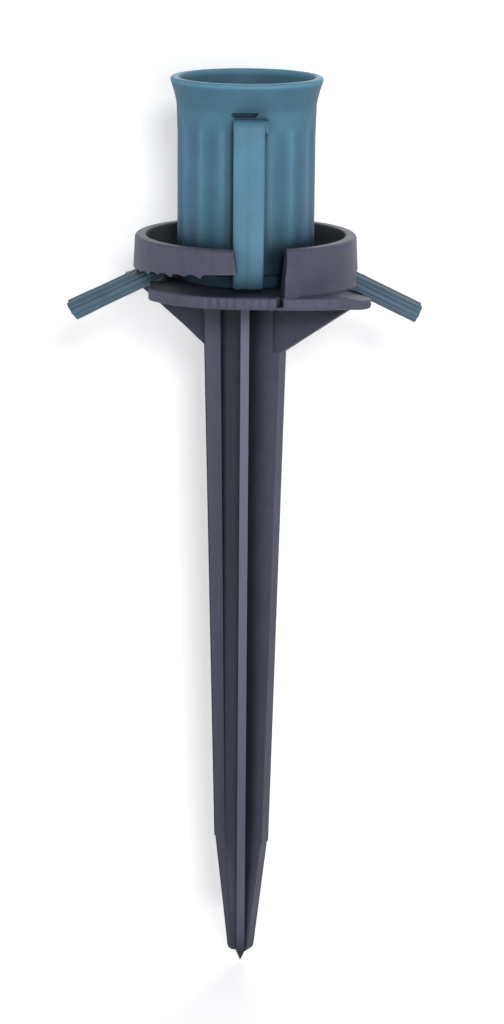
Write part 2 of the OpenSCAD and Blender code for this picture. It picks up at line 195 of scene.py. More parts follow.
# %% Blade section
WEB_TURN = math.radians(30)
WEB = np.array([math.cos(WEB_TURN), -math.sin(WEB_TURN)])
WEB_SIDE = np.array([math.sin(WEB_TURN), math.cos(WEB_TURN)])
KEEL_HALF, WEB_HALF = 0.625, 1.0
FLANGE_OUT, FLANGE_REAR, FLANGE_LEAST = 0.3, -0.25, 0.15


def blade_section(reach, keel, flange):
    """Outline of the blade: half of it as ten corners from the front keel to the back keel, then turned round.

    The web's faces are two lines, y = -(x - x0) tan 30 + y0, and each corner beside the web lies on one of them.
    """
    k, half_web = KEEL_HALF, WEB_SIDE * WEB_HALF
    back = lambda x: half_web[1] - math.tan(WEB_TURN) * (x - half_web[0])
    front = lambda x: -half_web[1] - math.tan(WEB_TURN) * (x + half_web[0])
    edge = WEB[0] * reach + FLANGE_OUT
    rear = max(FLANGE_REAR, back(edge) + FLANGE_LEAST)
    half = np.array([
        (k, -keel), (k, front(k)), WEB * reach - half_web, WEB * reach + half_web,
        (edge, back(edge)), (edge, rear), (edge - flange, rear), (edge - flange, back(edge - flange)),
        (k, back(k)), (k, keel),
    ], float)
    return np.concatenate([half, -half])


print("corners of the outline:", len(blade_section(6.75, 4.6, 2.4)))

# %% Blade loft
LEVELS = np.array([
    0.6, 0, -20, -40, -60, -80, SHOULDER_Z + 0.15, SHOULDER_Z - 0.15, -90, -95, -100, -103.4, -103.8, END_Z,
])
TAPER_AT = [0, 85.9, 86.05, 104]
REACH = np.interp(-LEVELS, TAPER_AT, [6.75, 4.25, 4.03, 1.68])
KEEL = np.interp(-LEVELS, TAPER_AT, [4.6, 3.4, 3.25, 1.65])
FLANGE = np.interp(-LEVELS, TAPER_AT, [2.4, 1.45, 1.3, 0.6])
drawn_in = np.interp(-LEVELS, [103.4, 103.8, 104], [0, 0.16, 0.5])
blade = np.stack([
    np.column_stack([blade_section(r - d, k - d, w), np.full(20, z)])
    for r, k, w, d, z in zip(REACH, KEEL, FLANGE, drawn_in, LEVELS)
])
turns = np.linspace(0, 360, 24, endpoint=False)
tip_r = np.array([0.85, 0.85, 0.45, 0.12, 0.0])
tip_z = np.array([END_Z + 0.6, END_Z, -104.95, -105.7, TIP_Z])
tip = polar(turns[None, :], tip_r[:, None], tip_z[:, None])
make_piece("blade", [tube(blade), tube(tip)], bevel=0.16)

# %% [markdown]
# ## Flat slabs with rounded edges
# The gussets, the strap and the brass strips are all flat outlines with some thickness. Each is drawn as a
# closed outline, repeated at several stations across its thickness. The outer stations are drawn in a
# little, which rounds the edges without any modifier.

# %% Slab helper
def drawn_in_loop(loop, inset):
    """A closed outline moved inwards by inset: each point shifts along the mean normal of its two sides."""
    side = np.roll(loop, -1, 0) - loop
    normal = np.column_stack([side[:, 1], -side[:, 0]]) / np.linalg.norm(side, axis=1)[:, None]
    mean = normal + np.roll(normal, 1, 0)
    mean /= np.maximum((mean ** 2).sum(1) / 2, 0.35)[:, None]
    area = (loop[:, 0] * np.roll(loop[:, 1], -1) - np.roll(loop[:, 0], -1) * loop[:, 1]).sum()
    return loop - mean * inset * (1 if area > 0 else -1)


def slab(loop, stations, insets, place):
    """A closed outline carried across stations, drawn in by insets; place puts (u, v, station) into space."""
    loop = np.asarray(loop, float)
    table = [place(drawn_in_loop(loop, d), s) for s, d in zip(stations, insets)]
    return tube(np.stack(table))


def rounded_corners(corners, radii, steps=5):
    """A polygon whose corners are replaced by arcs: each arc is a quadratic curve between two cut points."""
    corners, out = np.asarray(corners, float), []
    for before, corner, after, r in zip(np.roll(corners, 1, 0), corners, np.roll(corners, -1, 0), radii):
        a, b = before - corner, after - corner
        cut_a = corner + a * min(0.48, r / max(np.linalg.norm(a), 1e-6))
        cut_b = corner + b * min(0.48, r / max(np.linalg.norm(b), 1e-6))
        t = np.linspace(0, 1, steps if r else 1)[:, None]
        out.append((1 - t) ** 2 * cut_a + 2 * t * (1 - t) * corner + t ** 2 * cut_b)
    return np.concatenate(out)


print("slab helper ready")

# %% [markdown]
# ## The two gussets
# A thin triangular gusset joins each side of the blade to the plate, and is what a shoe pushes on. It stands
# in the plane of the side webs, which is turned 30 degrees towards the front right.

# %% Gussets
GUSSET_SLOPE = 8.6 / 12.8
edge_u = np.linspace(19.3, 6.6, 14)
edge_v = -0.15 - (19.3 - edge_u) * GUSSET_SLOPE
gusset_loop = np.concatenate([
    [(5.2, 0.3), (19.2, 0.3), (19.45, 0.0)], np.column_stack([edge_u, edge_v]), [(6.3, -8.8), (5.2, -8.8)],
])


def beside_web(loop, station):
    """u runs out along the web, v is the height, the station goes across; the root is thicker, to meet the web."""
    across = station * (1.46 - 0.46 * smooth_step((loop[:, 0] - 6.5) / 4))
    flat = loop[:, :1] * WEB + across[:, None] * WEB_SIDE
    return np.column_stack([flat, loop[:, 1]])


gusset = slab(gusset_loop, [-0.7, -0.66, -0.55, 0.55, 0.66, 0.7], [0.14, 0.05, 0, 0, 0.05, 0.14], beside_web)
make_piece("gusset_rib_right", [gusset])
make_piece("gusset_rib_left", [half_turn(gusset)])

# %% [markdown]
# ## The base plate
# The plate is a disc with two straight sides, two push tabs over the gussets and two notches for the wire.
# Its rim carries small moulded scallops for grip, and a narrow slit is cut beside each wall's foot. The
# outline is drawn as one dense loop. The scallops and the slit push its points inwards, and the loop is
# carried up through the thickness with rounded upper and lower edges. Many shoes have bent the tabs down a
# little, so points beyond the straight sides sink, the upper ones more than the lower ones.

# %% Plate outline
PLATE_R, BOW_END = 17.2, 13.6
under_wall = polar(np.linspace(78, 62, 8), 16.75, 0)[:, :2]
tab = rounded_corners(
    [(14.6, -8.2), (15.2, -9.1), (18.3, -9.4), (18.3, -11.3), (14.7, -16.1), (9.15, -17.4), (5.8, -17.33)],
    [0, 0.5, 0.5, 0.9, 2.5, 3.0, 0],
)
tab = np.concatenate([[(16.2, -3.1)], under_wall, tab])
by_slit = [(5.56, -17.33), (5.52, -17.33), (4.6, -17.31), (4.56, -17.31), (4.3, -17.3)]
bow = np.linspace(0, math.degrees(math.asin(BOW_END / PLATE_R)), 60)
front_bow = polar(-bow, PLATE_R, 0)[:, :2]
left_side = [(-14.0, -9.9), (-14.1, -9.3), (-14.1, -3.35), (-13.9, -3.1), (-11.85, -3.1), (-11.7, -2.9)]
half_outline = np.concatenate([[(11.7, -2.9), (11.85, -3.1)], tab, by_slit, front_bow, left_side])
corners = np.concatenate([half_outline, -half_outline])


def evenly(loop, step):
    """A closed loop with extra points: every side longer than step is split into equal shorter ones."""
    out = []
    for a, b in zip(loop, np.roll(loop, -1, 0)):
        n = max(1, int(np.ceil(np.linalg.norm(b - a) / step)))
        out.append(a + (b - a) * np.linspace(0, 1, n, endpoint=False)[:, None])
    return np.concatenate(out)


outline = evenly(corners, 0.18)
around = np.degrees(np.arctan2(outline[:, 0], -outline[:, 1])) % 180
reach = np.linalg.norm(outline, axis=1)
print(len(outline), "points round the plate")

# %% Plate with its scallops and slits
SCALLOPS = np.array([-29, -24, -18, -14, -10, -6, -1.5, 2.5, 6, 10.5, 14, 27, 31.5, 37, 42]) % 180
SCALLOP_DEPTH, SCALLOP_HALF_DEG = 0.13, 1.7
SLIT_DEPTH, SLIT_FROM, SLIT_TO = 1.9, 4.58, 5.54
gap = np.abs((around[:, None] - SCALLOPS[None, :] + 90) % 180 - 90).min(1)
scallop = np.where(reach > 16.8, SCALLOP_DEPTH * np.clip(1 - (gap / SCALLOP_HALF_DEG) ** 2, 0, 1), 0)
beside = -outline[:, 0] * np.sign(outline[:, 1])
on_front = (reach > 17) & (np.abs(outline[:, 1]) > 17)
slit = np.where(on_front & (beside > SLIT_FROM) & (beside < SLIT_TO), SLIT_DEPTH, 0)
inward = -outline / reach[:, None]
bent = smooth_step((np.abs(outline[:, 0]) - 14) / 4) * smooth_step((reach - 17.3) / 3.6)


def plate_level(height, inset, slit_depth, sink):
    """The outline at one height, drawn in by inset, with scallops and slits pushed inwards and the tabs bent down."""
    loop = drawn_in_loop(outline + inward * (scallop + slit * slit_depth)[:, None], inset)
    return np.column_stack([loop, height - bent * sink])


levels = [
    (0, 0.3, 0, 0.65), (0.08, 0.12, 0, 0.65), (0.28, 0, 0, 0.7), (0.45, 0, 0, 0.75),
    (0.5, 0, 1, 0.75), (1.5, 0, 1, 1.0), (1.68, 0.07, 1, 1.05), (1.75, 0.22, 1, 1.05),
]
NOTCH_DEG, TAB_DEG = 74.5, 64
first = slice(0, len(outline) // 2)
facing = np.degrees(np.arctan2(outline[first, 0], -outline[first, 1]))
facing = np.minimum.accumulate(np.clip(facing, -NOTCH_DEG, NOTCH_DEG))


def top_row(radius):
    """A row of the flat top at the outline's own angles, which never turn back: half of it, then turned round."""
    row = polar(facing, radius, PLATE_T)
    return np.concatenate([row, row * [-1, -1, 1]])


rows = [plate_level(*level) for level in levels]
outer_row = np.minimum(reach[first] * 0.965, np.interp(np.abs(facing), [TAB_DEG, NOTCH_DEG], [17.0, 11.0]))
inner_row = np.minimum(reach[first] * 0.93, np.interp(np.abs(facing), [TAB_DEG, NOTCH_DEG], [15.6, 10.5]))
rows += [top_row(outer_row - slit[first]), top_row(inner_row - 0.6 * slit[first]), top_row(8.0)]
make_piece("plate", [tube(np.stack(rows))], sharp=50)

# %% [markdown]
# ## The lock ring
# Each half of the ring is one wall that stands on the plate and one springy arm that reaches on from it.
# Under the arm is the slot that takes the wire, with saw teeth that hold the wire. A cross-section is carried
# round the axis. Its lower edge follows a height that jumps at the slot's end and dips at each tooth.

# %% Height of the ring's lower edge
TOOTH_MARGIN, TOOTH_W, RING_MID = 24, 1.5, 15.5
SLOT_MID, SLOT_RISE = 2.45, 0.8
TEETH = np.linspace(WALL_END + TOOTH_MARGIN, 180 - TOOTH_MARGIN, 7)
TOOTH_DEG = math.degrees(TOOTH_W / RING_MID)


def arm_under(angle):
    """Height under an arm: a straight ramp seen from the side, which is a sine of the angle, less the teeth."""
    middle, span = (WALL_END + ARM_END) / 2, ARM_END - WALL_END
    ramp = PLATE_T + SLOT_MID + SLOT_RISE * np.sin(np.radians(angle - middle)) / math.sin(math.radians(span / 2))
    from_tooth = (np.asarray(angle)[..., None] - TEETH) / TOOTH_DEG
    rise = np.clip((from_tooth + 0.5) / (0.5 + 1 / 6), 0, 1)
    fall = np.clip((0.5 - from_tooth) / (0.5 - 1 / 6), 0, 1)
    wear_and_painted_highlight = 0.38 + 0.12 * np.sin(np.asarray(angle) * 0.37)
    return ramp - wear_and_painted_highlight * np.minimum(rise, fall).max(-1)


wall_angles = np.concatenate([np.linspace(WALL_START, 28, 14), np.linspace(29, WALL_END, 38)])
corners = np.concatenate([TEETH - TOOTH_DEG / 2, TEETH + TOOTH_DEG / 6, TEETH + TOOTH_DEG / 2])
arm_angles = np.unique(np.concatenate([np.linspace(WALL_END, ARM_END, 66), corners]))
angles = np.concatenate([wall_angles, arm_angles])
under = np.concatenate([np.where(wall_angles < 26.5, 0.08, PLATE_T - 0.3), arm_under(arm_angles)])
print("lowest tooth", round(float(under[len(wall_angles):].min()), 2), "mm")

# %% [markdown]
# The wall's free end stands on a small buttress that spreads forwards and runs down over the plate's rim.
# The section's outer side flares out towards its foot, the lowest rows of the buttress reach down to the
# plate's underside, and its end leans towards the slit. The arm's free end is cut at a slant.

# %% Ring section carried round the axis
outer_z = np.array([0.08, 0.3, 1.45, 1.75, 1.95, 2.2, 2.6, 3.1, 3.6, 4.2, 5.0, 6.2, 7.4, 7.95])
OUT_R, IN_R = 0.5, 0.3
edge = np.radians(np.linspace(0, 90, 6))
round_out = np.column_stack([RING_OUT - OUT_R + OUT_R * np.cos(edge), RING_TOP - OUT_R + OUT_R * np.sin(edge)])
round_in = np.column_stack([RING_IN + IN_R - IN_R * np.sin(edge), RING_TOP - IN_R + IN_R * np.cos(edge)])
outer_face = np.column_stack([np.full(14, RING_OUT), outer_z])
inner_face = np.column_stack([np.full(14, RING_IN), outer_z[::-1]])
section = np.concatenate([outer_face, round_out[1:], round_in, inner_face[1:]])
height = np.maximum(section[None, :, 1], under[:, None])
draft = np.interp(height, [1.75, 7.95], [0.3, 0.0])
foot = 1.15 * smooth_step((28.5 - angles) / 4.5) + 0.45 * smooth_step((79 - angles) / 8.0)
flare = np.clip(1 - (height - PLATE_T) / (1.0 + 2.0 * smooth_step((31 - angles[:, None]) / 8)), 0, 1) ** 2
radius = section[None, :, 0] + np.where(section[None, :, 0] > 15.5, draft + flare * foot[:, None], 0)
slant = smooth_step((angles[:, None] - 166) / 8) * np.interp(height, [5, 8.45], [1.8, -0.6])
lean = np.interp(height, [1.75, 3.0, 6.0, 8.45], [3.9, 2.3, 0.6, 0.4]) - 1.3 * np.clip((15.9 - radius) / 1.2, 0, 1)
slant -= smooth_step((28 - angles[:, None]) / 6) * lean
ring = tube(polar(angles[:, None] + slant, radius, height))
make_piece("lock_ring_right", [ring])
make_piece("lock_ring_left", [half_turn(ring)])

# %% [markdown]
# ## The socket body
# The socket is one moulding, round about the axis: a foot with two channels for the wire, eighteen shallow
# flutes, a smooth collar, a flared rim with a rounded lip, the wide mouth and the bore for the lamp. It is a
# turned profile, and the flutes are pressed into the outer radius as a function of angle and height.

# %% Body profile
BODY_R = 10.1
flare_t = np.linspace(0, 1, 11)
outside = np.concatenate([
    np.column_stack([np.full(3, BODY_R), [SEAM_Z, 3.72, 3.9]]),
    np.column_stack([np.linspace(BODY_R, 10.2, 12), [4.2, 4.7, 5.2, 5.6, 5.7, 5.9, 7, 9, 12, 16, 20, 24]]),
    np.column_stack([np.full(9, 10.25), np.linspace(24.6, 26.6, 9)]),
    np.column_stack([np.full(9, 10.26), np.linspace(26.78, 27.42, 9)]),
    np.column_stack([10.27 + 0.87 * flare_t ** 1.3, 27.55 + 3.35 * flare_t]),
])
rim = np.array([
    (11.18, 31.02), (11.2, 31.15), (11.19, 31.3), (11.13, 31.45), (11.02, 31.57), (10.88, 31.63), (10.7, 31.65),
    (10.35, 31.64), (10.2, 31.6), (10.08, 31.5), (10.0, 31.36), (9.96, 31.15),
])
inside = np.array([
    (9.88, 30.6), (9.6, 29.6), (9.38, 29.0), (9.3, 28.4), (9.3, 26.8), (9.3, 25.3), (9.26, 25.1), (8.82, 24.3),
    (8.75, 24.1), (8.75, 20), (8.75, 15), (8.75, 10.3), (8.7, 10.2), (8.3, 10.2), (8.25, 10.1), (8.25, 7.4),
    (8.1, 7.2), (5, 7.2), (0, 7.2),
])
profile = np.concatenate([outside, rim, inside])
print(len(profile), "points from foot to floor")

# %% Body with flutes and wire channels
CHANNEL_HALF, CHANNEL_TOP = 2.75, 5.6
FLUTE_STEP, FLUTE_HALF_DEG, FLUTE_DEPTH, FLUTE_END = 20, 7.4, 0.17, 24.6
UNDERCUT_DEPTH, UNDERCUT_Z = 0.6, 27.1
channel = math.degrees(math.acos(CHANNEL_HALF / BODY_R))
marks = np.array([channel, 180 - channel, 180 + channel, 360 - channel])
turn = np.sort(np.concatenate([np.linspace(0, 360, 288, endpoint=False), marks - 0.01, marks + 0.01]))
in_channel = np.abs(np.cos(np.radians(turn))) * BODY_R < CHANNEL_HALF
foot_z = np.where(in_channel, CHANNEL_TOP, SEAM_Z)


def from_flute(angle):
    """Degrees from the middle of the nearest flute: flutes stand half a step off the front, a step apart."""
    return np.abs(angle % FLUTE_STEP - FLUTE_STEP / 2)


r, z = profile[:, 0][:, None], profile[:, 1][:, None]
rows = np.arange(len(profile))[:, None]
low = (rows < len(outside)).astype(float)
lifted = np.maximum.accumulate(np.maximum(z, foot_z[None, :] + (z - SEAM_Z) * (rows < 3)), axis=0)
z = np.where(low > 0, lifted, z)
r = np.where(low > 0, np.interp(z, outside[:, 1], outside[:, 0]), r)
off_flute = from_flute(turn)
over_top = np.clip((z - FLUTE_END) / 1.9, 0, 2)
press = np.clip(1 - (off_flute[None, :] / FLUTE_HALF_DEG) ** 2 - over_top ** 2, 0, 1)
near_strap = np.abs((turn + 1.5 + 180) % 360 - 180)
undercut = smooth_step((11.5 - near_strap) / 4)[None, :] * smooth_step((0.33 - np.abs(z - UNDERCUT_Z)) / 0.18)
foot_round = np.clip(1 - (z - foot_z[None, :]) / 0.25, 0, 1) ** 2 * 0.2
outer_r = r - low * (FLUTE_DEPTH * press + UNDERCUT_DEPTH * undercut + foot_round)
wall = polar(turn[None, :], outer_r, z)
under_r = np.array([9.4, 9.3, 4.0, 0.0])[:, None]
under_z = np.array([0.0, 1.0, 1.0, 1.0])[:, None] * (CHANNEL_TOP - foot_z)[None, :] + foot_z[None, :]
base = polar(turn[None, :], under_r, under_z)
body_part = tube(np.concatenate([base[::-1], wall]), caps=False)
print("least radius of a flute", round(float(outer_r[6:24].min()), 2), "mm")

# %% [markdown]
# ## The thread in the bore
# The lamp's screw base runs on a moulded thread ridge. It is a small rounded section carried along a helix
# on the bore's wall, at the pitch of an intermediate lamp base, 2.82 mm. It fades out at both ends, and
# where the brass side contact stands.

# %% Thread ridge
THREAD_TURNS, THREAD_PITCH, THREAD_FOOT, THREAD_START = 4.1, 2.82, 11.6, 200
RIDGE_R = 8.84
steps = np.linspace(0, THREAD_TURNS, 330)
thread_z = THREAD_FOOT + THREAD_PITCH * steps
thread_a = 360 * steps + THREAD_START
fade = smooth_step(steps / 0.12) * smooth_step((THREAD_TURNS - steps) / 0.12)
fade *= smooth_step((np.abs(thread_a % 360 - 180) - 15) / 5)
around_ridge = np.radians(np.linspace(0, 360, 8, endpoint=False))
ridge_r = RIDGE_R + (0.05 + 0.39 * fade[:, None]) * np.cos(around_ridge)[None, :]
ridge_z = thread_z[:, None] + (0.15 + 0.45 * fade[:, None]) * np.sin(around_ridge)[None, :]
thread = tube(polar(thread_a[:, None], ridge_r, ridge_z))
make_piece("socket_shell", [body_part, thread])

# %% [markdown]
# ## The strap clip
# The strap hangs from a root under the collar, a little off the body, so it can grip a tile or a gutter lip.
# Its side view is one outline: a thin blade with a rounded shoulder that runs back into the body. That
# outline is carried across the strap's width, with rounded edges and a shallow crease down its face.

# %% Strap
shoulder = np.radians(np.linspace(180, 90, 8))
fillet = np.radians(np.linspace(90, 180, 6))
strap_loop = np.concatenate([
    [(-11.5, 2.35), (-11.6, 2.25), (-12.68, 2.25), (-12.8, 2.4)],
    np.column_stack([np.full(10, -12.8), np.linspace(5, 24.3, 10)]),
    np.column_stack([-11.4 + 1.4 * np.cos(shoulder), 25.3 + 1.4 * np.sin(shoulder)]),
    [(-9.7, 26.7), (-9.7, 24.6)],
    np.column_stack([-10.9 + 0.6 * np.cos(fillet), 24.0 + 0.6 * np.sin(fillet)]),
    np.column_stack([np.full(8, -11.5), np.linspace(22, 4.5, 8)]),
])
across = np.array([-2.25, -2.2, -2.08, -1.85, -1.3, -0.8, -0.5, -0.2, 0.1, 0.5, 1.2, 1.85, 2.08, 2.2, 2.25])
insets = np.interp(np.abs(across), [1.85, 2.08, 2.2, 2.25], [0, 0.05, 0.14, 0.3])
STRAP_TURN = math.radians(2)
CREASE_DEPTH, CREASE_AT, CREASE_HALF = 0.16, -0.45, 0.45


def on_strap(loop, station):
    """u is the depth, v the height, the station the place across; the crease presses the face in by a bell curve."""
    front = loop[:, 0] < -12.4
    depth = loop[:, 0] + front * CREASE_DEPTH * math.exp(-((station - CREASE_AT) / CREASE_HALF) ** 2)
    x = np.full(len(loop), station)
    c, s = math.cos(STRAP_TURN), math.sin(STRAP_TURN)
    return np.column_stack([x * c - depth * s, x * s + depth * c, loop[:, 1]])


strap_part = slab(strap_loop, across, insets, on_strap)
web_corners = [(-12.55, 25.9), (-12.1, 26.6), (-9.8, 26.6), (-9.8, 24.7), (-12.3, 24.7)]
web_loop = rounded_corners(web_corners, [0.2, 0.3, 0, 0, 0.3])
web_part = slab(web_loop, [2.0, 2.7, 2.85], [0, 0, 0.12], on_strap)
make_piece("strap", [strap_part], sharp=50)
make_piece("strap_web", [web_part], sharp=50)

# %% [markdown]
# ## The cap under the socket
# A shallow cap closes the socket from below and presses the wire up onto the contacts. It is a turned disc
# with a saddle for the wire, cut down where the wire leaves.

# %% Cap
SADDLE_Z = 2.75
cap_top = np.where(in_channel, SADDLE_Z, SEAM_Z - 0.02)
cap_r = np.array([0, 9.5, 9.65, 9.7, 9.7, 9.62, 9.4, 8.6, 8.4, 0])
cap_low = np.repeat([[1.85], [1.85], [1.89], [2.05]], len(turn), axis=1)
cap_edge = cap_top[None, :] - np.array([0.12, 0.03, 0, 0])[:, None]
cap_z = np.concatenate([cap_low, cap_edge, np.full((2, len(turn)), SADDLE_Z)])
make_piece("cap", [tube(polar(turn[None, :], cap_r[:, None], cap_z), caps=False)])

# %% [markdown]
# ## The flat twin wire
# Light string wire has two stranded conductors side by side in one soft sheath. Its section is two touching
# circles with a filled waist, and one conductor is marked with two fine grooves. The section is carried
# along a path that leaves the socket level and bends down over the notch's edge, one half to each side.

# %% Wire section and path
WIRE_R, WAIST, DROOP, BEND_FROM = 1.35, 0.985, math.radians(25.8), 9.2


def sheath_section():
    """Outline of the sheath by direction: the further of a lobe round each conductor and the waist, less the grooves.

    In a direction (c, s) a circle of radius R at (p, 0) is left at p c + sqrt(R^2 - (p s)^2), the waist at WAIST / s.
    """
    a = np.linspace(0, 2 * np.pi, 96, endpoint=False)
    c, s = np.cos(a), np.sin(a)
    middle = CORE_PITCH / 2
    lobe = middle * np.abs(c) + np.sqrt(np.maximum(WIRE_R ** 2 - (middle * s) ** 2, 0.0))
    waist = np.where(np.abs(s) > 0.02, WAIST / np.maximum(np.abs(s), 0.02), 99)
    r = np.where(waist * np.abs(c) < middle, np.maximum(lobe, waist), lobe)
    for groove_at in (180 - 11.5, 180 + 11.5):
        r -= 0.17 * np.exp(-((np.degrees(a) - groove_at) / 3.2) ** 2)
    return np.column_stack([r * c, r * s])


def wire_path(side, past=0.0):
    """Points along one half of the wire, with the downward lean at each: level, then a smooth bend to 25.8 degrees."""
    run = np.concatenate([np.linspace(0, 9.0, 8), np.linspace(BEND_FROM, 11.8, 14), np.linspace(12.3, 27.3 + past, 14)])
    lean = DROOP * smooth_step((run - BEND_FROM) / 2.4)
    mid = (lean[1:] + lean[:-1]) / 2
    x = np.concatenate([[0], np.cumsum(np.diff(run) * np.cos(mid))])
    z = WIRE_Z - np.concatenate([[0], np.cumsum(np.diff(run) * np.sin(mid))])
    return side * x, z, lean


def carried(section, path, side):
    """A section (across, up) carried along a path in the XZ plane, its up leaning with the path."""
    x, z, lean = (row[:, None] for row in path)
    across, up = section.T
    return np.stack(np.broadcast_arrays(x + side * np.sin(lean) * up, across, z + np.cos(lean) * up), -1)


print("wire is", round(float(np.ptp(sheath_section()[:, 0])), 2), "mm wide")

# %% Wire halves and copper strands
ring_of = np.radians(np.arange(0, 360, 60))
strand_places = np.concatenate([[(0, 0)], 0.31 * np.column_stack([np.cos(ring_of), np.sin(ring_of)])])
strand_round = 0.16 * np.column_stack([np.cos(ring_of + 0.3), np.sin(ring_of + 0.3)])
for side, word in ((1, "right"), (-1, "left")):
    path = wire_path(side)
    table = carried(sheath_section(), path, side)
    if side < 0:
        above = (table[:, :, 2] - path[1][:, None]) / WIRE_R
        trim = smooth_step((np.abs(path[0]) - 20) / 5.5)[:, None] * above
        table[:, :, 0] -= 0.3 * np.minimum(trim, 0.6)
    make_piece("wire_" + word, [tube(table)], sharp=60)
    strands = []
    for n, core in enumerate((-CORE_PITCH / 2, CORE_PITCH / 2)):
        for m, place in enumerate(strand_places):
            past = 0.08 + 0.05 * ((3 * m + 5 * n) % 4)
            strands.append(tube(carried(strand_round + place + [core, 0], wire_path(side, past), side)))
    make_piece("copper_" + word, strands, sharp=60)

# %% [markdown]
# ## The brass contacts
# Two strips of stamped brass touch the lamp: one springs against the side of its screw base, and a leaf
# rises under its tip. Each is a strip of even thickness along a bent line, so the line is drawn once and
# given its thickness on both sides.

# %% Brass strips
def strip(line, thick, stations, insets, place):
    """A strip along a bent line of (u, v) points: the line moved half the thickness to both sides, as one loop."""
    line = np.asarray(line, float)
    along = np.gradient(line, axis=0)
    normal = np.column_stack([-along[:, 1], along[:, 0]]) / np.linalg.norm(along, axis=1)[:, None]
    loop = np.concatenate([line + normal * thick / 2, (line - normal * thick / 2)[::-1]])
    return slab(loop, stations, insets, place)


def facing_axis(axis):
    """A place function: the station is the coordinate along axis 0, 1 or 2, and (u, v) are the other two in order."""
    return lambda loop, station: np.insert(loop, axis, station, axis=1)


SIDE_T, LEAF_T = 0.38, 0.34
width = np.array([-2.0, -1.95, -1.8, 1.8, 1.95, 2.0])
drawn = np.array([0.1, 0.03, 0, 0, 0.03, 0.1])
side_z = np.linspace(7.6, 23.0, 24)
bulge = 0.12 * np.sin(np.clip((side_z - 9) / 13, 0, 1) * np.pi)
upright = np.column_stack([8.82 - bulge, side_z])
side_line = np.concatenate([[(5.4, 7.42), (6.5, 7.42), (8.3, 7.42), (8.7, 7.48)], upright])
side_strip = strip(side_line, SIDE_T, width, drawn, facing_axis(0))
leg_corners = [(-4.1, 1.1), (-3.1, 1.1), (-3.1, 5.3), (2.0, 5.3), (2.0, 6.8), (-4.1, 6.8)]
leg_loop = rounded_corners(leg_corners, [0.2, 0.2, 0.3, 0, 0, 0.5])
leg = slab(leg_loop, [7.22, 7.26, 7.56, 7.6], [0.08, 0, 0, 0.08], facing_axis(2))
needle_loop = [(-4.1, 7.5), (-4.1, 4.95), (-3.6, 4.15), (-3.1, 4.95), (-3.1, 7.5)]
needle = slab(needle_loop, [1.12, 1.16, 1.44, 1.48], [0.1, 0, 0, 0.1], facing_axis(1))
make_piece("side_strip", [side_strip, leg, needle], sharp=45)

# %% Sprung leaf
leaf_run = np.linspace(0, 7.7, 30)
leaf_rise = np.radians(11) * smooth_step(leaf_run / 0.8) - np.radians(22) * smooth_step((leaf_run - 6.6) / 0.9)
leaf_u = 5.95 - np.concatenate([[0], np.cumsum(np.diff(leaf_run) * np.cos(leaf_rise[1:]))])
leaf_v = 7.89 + np.concatenate([[0], np.cumsum(np.diff(leaf_run) * np.sin(leaf_rise[1:]))])
leaf_line = np.column_stack([leaf_u, leaf_v])
leaf_width = np.array([-1.6, -1.56, -1.42, 1.42, 1.56, 1.6])
leaf = strip(leaf_line, LEAF_T, leaf_width, drawn, facing_axis(1))
DOME_R = 1.3
dome_a = np.radians(np.linspace(0, 90, 7))
dome_r = np.concatenate([[0, DOME_R], DOME_R * np.cos(dome_a)[1:]])
dome_z = np.concatenate([[8.6, 8.6], 8.95 + 0.55 * np.sin(dome_a)[1:]])
dome = tube(polar(turns[None, :], dome_r[:, None], dome_z[:, None]), caps=False)
make_piece("leaf_spring", [leaf, dome], sharp=45)

# %% [markdown]
# ## Colours and a helper for nodes
# Colours are written as they look on a screen, and one function turns them into the linear numbers that a
# shader reads. One small function adds a node, sets its values and links its inputs.

# %% Material helpers
def linear(colour):
    """Linear red, green, blue and alpha of an sRGB hex colour: c / 12.92 if dark, else ((c + 0.055) / 1.055)^2.4."""
    c = np.array([int(colour[i:i + 2], 16) for i in (1, 3, 5)]) / 255
    return (*np.where(c <= 0.04045, c / 12.92, ((c + 0.055) / 1.055) ** 2.4).tolist(), 1.0)


def add(tree, kind, links=None, **values):
    """Adds one node. values are its settings or its inputs by name, and links join its inputs to other outputs."""
    node = tree.nodes.new("ShaderNode" + kind)
    for key, value in values.items():
        if hasattr(node, key):
            setattr(node, key, value)
        else:
            node.inputs[key.replace("_", " ")].default_value = value
    for key, output in (links or {}).items():
        tree.links.new(output, node.inputs[key])
    return node


def new_material(name):
    """An empty node material and its tree, with an output node."""
    material = bpy.data.materials.new(name)
    material.use_nodes = True
    material.node_tree.nodes.clear()
    return material, material.node_tree, add(material.node_tree, "OutputMaterial")


print("linear mid grey:", [round(v, 3) for v in linear("#808080")[:3]])

# %% [markdown]
# ## Moulded plastic
# The stake is polypropylene and the socket a harder matt plastic. Both came out of a spark-eroded mould,
# which leaves a fine grain, and both show soft clouds of colour where the melt cooled. The stake also has
# faint flow streaks down its length. The grain is really about 0.05 mm; it is drawn at 0.3 mm, because a
# pixel of the picture is 0.15 mm wide.

# %% Moulded plastic material
STREAK_MM, CLOUD_EDGE = 1.1, 0.22
# Painted shade: ambient occlusion within the reach below darkens recesses and the spaces between parts. It is full at
# the first level and gone at the second, and a point marked for painted shade is darkened by the weight.
SHADE_REACH, AO_FULL_SHADE, AO_NO_SHADE, MARKED_SHADE_WEIGHT = 0.010, 0.3, 0.92, 0.6


